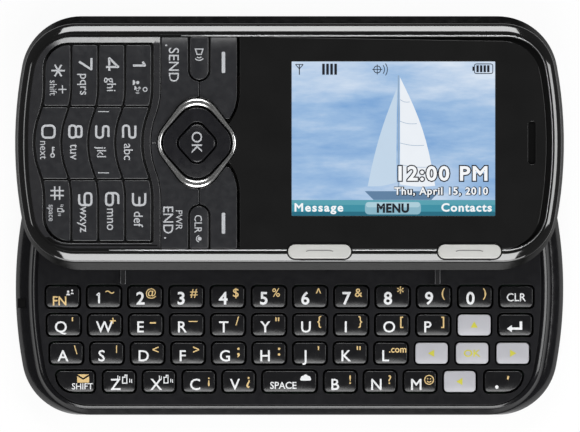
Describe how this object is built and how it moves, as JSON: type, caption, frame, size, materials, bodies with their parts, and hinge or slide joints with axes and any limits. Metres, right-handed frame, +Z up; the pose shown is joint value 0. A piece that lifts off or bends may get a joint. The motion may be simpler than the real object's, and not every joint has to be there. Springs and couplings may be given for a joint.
{
  "type": "slider phone",
  "caption": "Side-sliding messaging phone, shown open: upper half with display and number keys over a base with a full letter keyboard.",
  "frame": {"origin": "centre of the base's flat back face", "axes": "+X along the phone towards the earpiece, +Y across it the way the upper half opens, +Z up out of the keyboard"},
  "size_m": [0.114, 0.0829, 0.0166],
  "materials": {
    "case_plastic": "satin black",
    "front_gloss": "dark mirror gloss",
    "window": "clear, black printed behind",
    "bright_trim": "polished",
    "front_key": "satin charcoal",
    "slot_key": "satin dark metallic",
    "rocker_plate": "plain",
    "silver_key": "silver lacquer",
    "letter_key": "satin black",
    "side_key": "satin",
    "steel": "brushed",
    "screw_steel": "dark zinc",
    "board": "solder mask",
    "sheet": "polyimide",
    "cell": "plain sleeve",
    "contact": "gold plated",
    "module": "plain",
    "motor": "plain",
    "screen": "backlit",
    "mesh": "black mesh"
  },
  "bodies": {
    "base": {"base_rear_case": "case_plastic", "keyboard_deck": "case_plastic", "fixed_slide_plate": "steel", "main_board": "board", "shield_cans": "steel", "keyboard_dome_sheet": "sheet", "battery_pack": "cell", "battery_contacts": "contact", "loudspeaker": "module", "vibration_motor": "motor", "camera_module": "module", "camera_window": "window", "headset_jack": "module", "charging_port": "motor", "microphone": "module", "antenna": "module", "case_screws": "screw_steel"},
    "slider": {"slider_front_case": "front_gloss", "slider_rear_case": "case_plastic", "moving_slide_plate": "steel", "slider_screws": "screw_steel", "display_window": "window", "display_panel": "screen", "display_frame": "steel", "window_trim": "bright_trim", "nav_trim_ring": "bright_trim", "keypad_board": "board", "earpiece_speaker": "module", "earpiece_mesh": "mesh", "link_flex": "sheet"},
    "battery_cover": {"battery_cover": "case_plastic"},
    "volume_rocker": {"volume_rocker": "side_key"},
    "nav_rocker": {"nav_rocker": "rocker_plate"},
    "nav_pad": {"nav_pad": "slot_key"},
    "number_row": {"number_row": "letter_key"},
    "top_letter_row": {"top_letter_row": "letter_key"},
    "middle_letter_row": {"middle_letter_row": "letter_key"},
    "bottom_letter_row": {"bottom_letter_row": "letter_key"},
    "cursor_keys": {"cursor_keys": "silver_key"},
    "key_0": {"key_0": "front_key"},
    "key_1": {"key_1": "front_key"},
    "key_2": {"key_2": "front_key"},
    "key_3": {"key_3": "front_key"},
    "key_4": {"key_4": "front_key"},
    "key_5": {"key_5": "front_key"},
    "key_6": {"key_6": "front_key"},
    "key_7": {"key_7": "front_key"},
    "key_8": {"key_8": "front_key"},
    "key_9": {"key_9": "front_key"},
    "key_star": {"key_star": "front_key"},
    "key_hash": {"key_hash": "front_key"},
    "send_key": {"send_key": "front_key"},
    "end_key": {"end_key": "front_key"},
    "soft_key_left": {"soft_key_left": "front_key"},
    "soft_key_right": {"soft_key_right": "front_key"},
    "speaker_key": {"speaker_key": "slot_key"},
    "clear_key": {"clear_key": "slot_key"},
    "ok_key": {"ok_key": "slot_key"},
    "wide_soft_key_left": {"wide_soft_key_left": "silver_key"},
    "wide_soft_key_right": {"wide_soft_key_right": "silver_key"}
  },
  "joints": [
    {"name": "upper_half_slide", "type": "slide", "parent": "base", "child": "slider", "axis": [0, -1, 0], "range_m": [0, 0.0302]},
    {"name": "battery_cover_slide", "type": "slide", "parent": "base", "child": "battery_cover", "axis": [-1, 0, 0], "range_m": [0, 0.006]},
    {"name": "volume_rocker_tilt", "type": "hinge", "parent": "base", "child": "volume_rocker", "pos_m": [0.012, 0.0252, 0.0029], "axis": [0, 0, 1], "range_deg": [-2, 2], "stiffness_Nm_per_rad": 0.02},
    {"name": "nav_up_down_tilt", "type": "hinge", "parent": "slider", "child": "nav_rocker", "pos_m": [-0.0192, 0.0302, 0.01445], "axis": [1, 0, 0], "range_deg": [-1.5, 1.5], "stiffness_Nm_per_rad": 0.02},
    {"name": "nav_left_right_tilt", "type": "hinge", "parent": "nav_rocker", "child": "nav_pad", "pos_m": [-0.0192, 0.0302, 0.01445], "axis": [0, 1, 0], "range_deg": [-1.5, 1.5], "stiffness_Nm_per_rad": 0.02},
    {"name": "number_row_press", "type": "slide", "parent": "base", "child": "number_row", "axis": [0, 0, -1], "range_m": [0, 0.00025], "stiffness_N_per_m": 300},
    {"name": "top_letter_row_press", "type": "slide", "parent": "base", "child": "top_letter_row", "axis": [0, 0, -1], "range_m": [0, 0.00025], "stiffness_N_per_m": 300},
    {"name": "middle_letter_row_press", "type": "slide", "parent": "base", "child": "middle_letter_row", "axis": [0, 0, -1], "range_m": [0, 0.00025], "stiffness_N_per_m": 300},
    {"name": "bottom_letter_row_press", "type": "slide", "parent": "base", "child": "bottom_letter_row", "axis": [0, 0, -1], "range_m": [0, 0.00025], "stiffness_N_per_m": 300},
    {"name": "cursor_keys_press", "type": "slide", "parent": "base", "child": "cursor_keys", "axis": [0, 0, -1], "range_m": [0, 0.00025], "stiffness_N_per_m": 300},
    {"name": "key_0_press", "type": "slide", "parent": "slider", "child": "key_0", "axis": [0, 0, -1], "range_m": [0, 0.00025], "stiffness_N_per_m": 300},
    {"name": "key_1_press", "type": "slide", "parent": "slider", "child": "key_1", "axis": [0, 0, -1], "range_m": [0, 0.00025], "stiffness_N_per_m": 300},
    {"name": "key_2_press", "type": "slide", "parent": "slider", "child": "key_2", "axis": [0, 0, -1], "range_m": [0, 0.00025], "stiffness_N_per_m": 300},
    {"name": "key_3_press", "type": "slide", "parent": "slider", "child": "key_3", "axis": [0, 0, -1], "range_m": [0, 0.00025], "stiffness_N_per_m": 300},
    {"name": "key_4_press", "type": "slide", "parent": "slider", "child": "key_4", "axis": [0, 0, -1], "range_m": [0, 0.00025], "stiffness_N_per_m": 300},
    {"name": "key_5_press", "type": "slide", "parent": "slider", "child": "key_5", "axis": [0, 0, -1], "range_m": [0, 0.00025], "stiffness_N_per_m": 300},
    {"name": "key_6_press", "type": "slide", "parent": "slider", "child": "key_6", "axis": [0, 0, -1], "range_m": [0, 0.00025], "stiffness_N_per_m": 300},
    {"name": "key_7_press", "type": "slide", "parent": "slider", "child": "key_7", "axis": [0, 0, -1], "range_m": [0, 0.00025], "stiffness_N_per_m": 300},
    {"name": "key_8_press", "type": "slide", "parent": "slider", "child": "key_8", "axis": [0, 0, -1], "range_m": [0, 0.00025], "stiffness_N_per_m": 300},
    {"name": "key_9_press", "type": "slide", "parent": "slider", "child": "key_9", "axis": [0, 0, -1], "range_m": [0, 0.00025], "stiffness_N_per_m": 300},
    {"name": "key_star_press", "type": "slide", "parent": "slider", "child": "key_star", "axis": [0, 0, -1], "range_m": [0, 0.00025], "stiffness_N_per_m": 300},
    {"name": "key_hash_press", "type": "slide", "parent": "slider", "child": "key_hash", "axis": [0, 0, -1], "range_m": [0, 0.00025], "stiffness_N_per_m": 300},
    {"name": "send_key_press", "type": "slide", "parent": "slider", "child": "send_key", "axis": [0, 0, -1], "range_m": [0, 0.00025], "stiffness_N_per_m": 300},
    {"name": "end_key_press", "type": "slide", "parent": "slider", "child": "end_key", "axis": [0, 0, -1], "range_m": [0, 0.00025], "stiffness_N_per_m": 300},
    {"name": "soft_key_left_press", "type": "slide", "parent": "slider", "child": "soft_key_left", "axis": [0, 0, -1], "range_m": [0, 0.00025], "stiffness_N_per_m": 300},
    {"name": "soft_key_right_press", "type": "slide", "parent": "slider", "child": "soft_key_right", "axis": [0, 0, -1], "range_m": [0, 0.00025], "stiffness_N_per_m": 300},
    {"name": "speaker_key_press", "type": "slide", "parent": "slider", "child": "speaker_key", "axis": [0, 0, -1], "range_m": [0, 0.00025], "stiffness_N_per_m": 300},
    {"name": "clear_key_press", "type": "slide", "parent": "slider", "child": "clear_key", "axis": [0, 0, -1], "range_m": [0, 0.00025], "stiffness_N_per_m": 300},
    {"name": "ok_key_press", "type": "slide", "parent": "slider", "child": "ok_key", "axis": [0, 0, -1], "range_m": [0, 0.00025], "stiffness_N_per_m": 300},
    {"name": "wide_soft_key_left_press", "type": "slide", "parent": "slider", "child": "wide_soft_key_left", "axis": [0, 0, -1], "range_m": [0, 0.00025], "stiffness_N_per_m": 300},
    {"name": "wide_soft_key_right_press", "type": "slide", "parent": "slider", "child": "wide_soft_key_right", "axis": [0, 0, -1], "range_m": [0, 0.00025], "stiffness_N_per_m": 300}
  ]
}
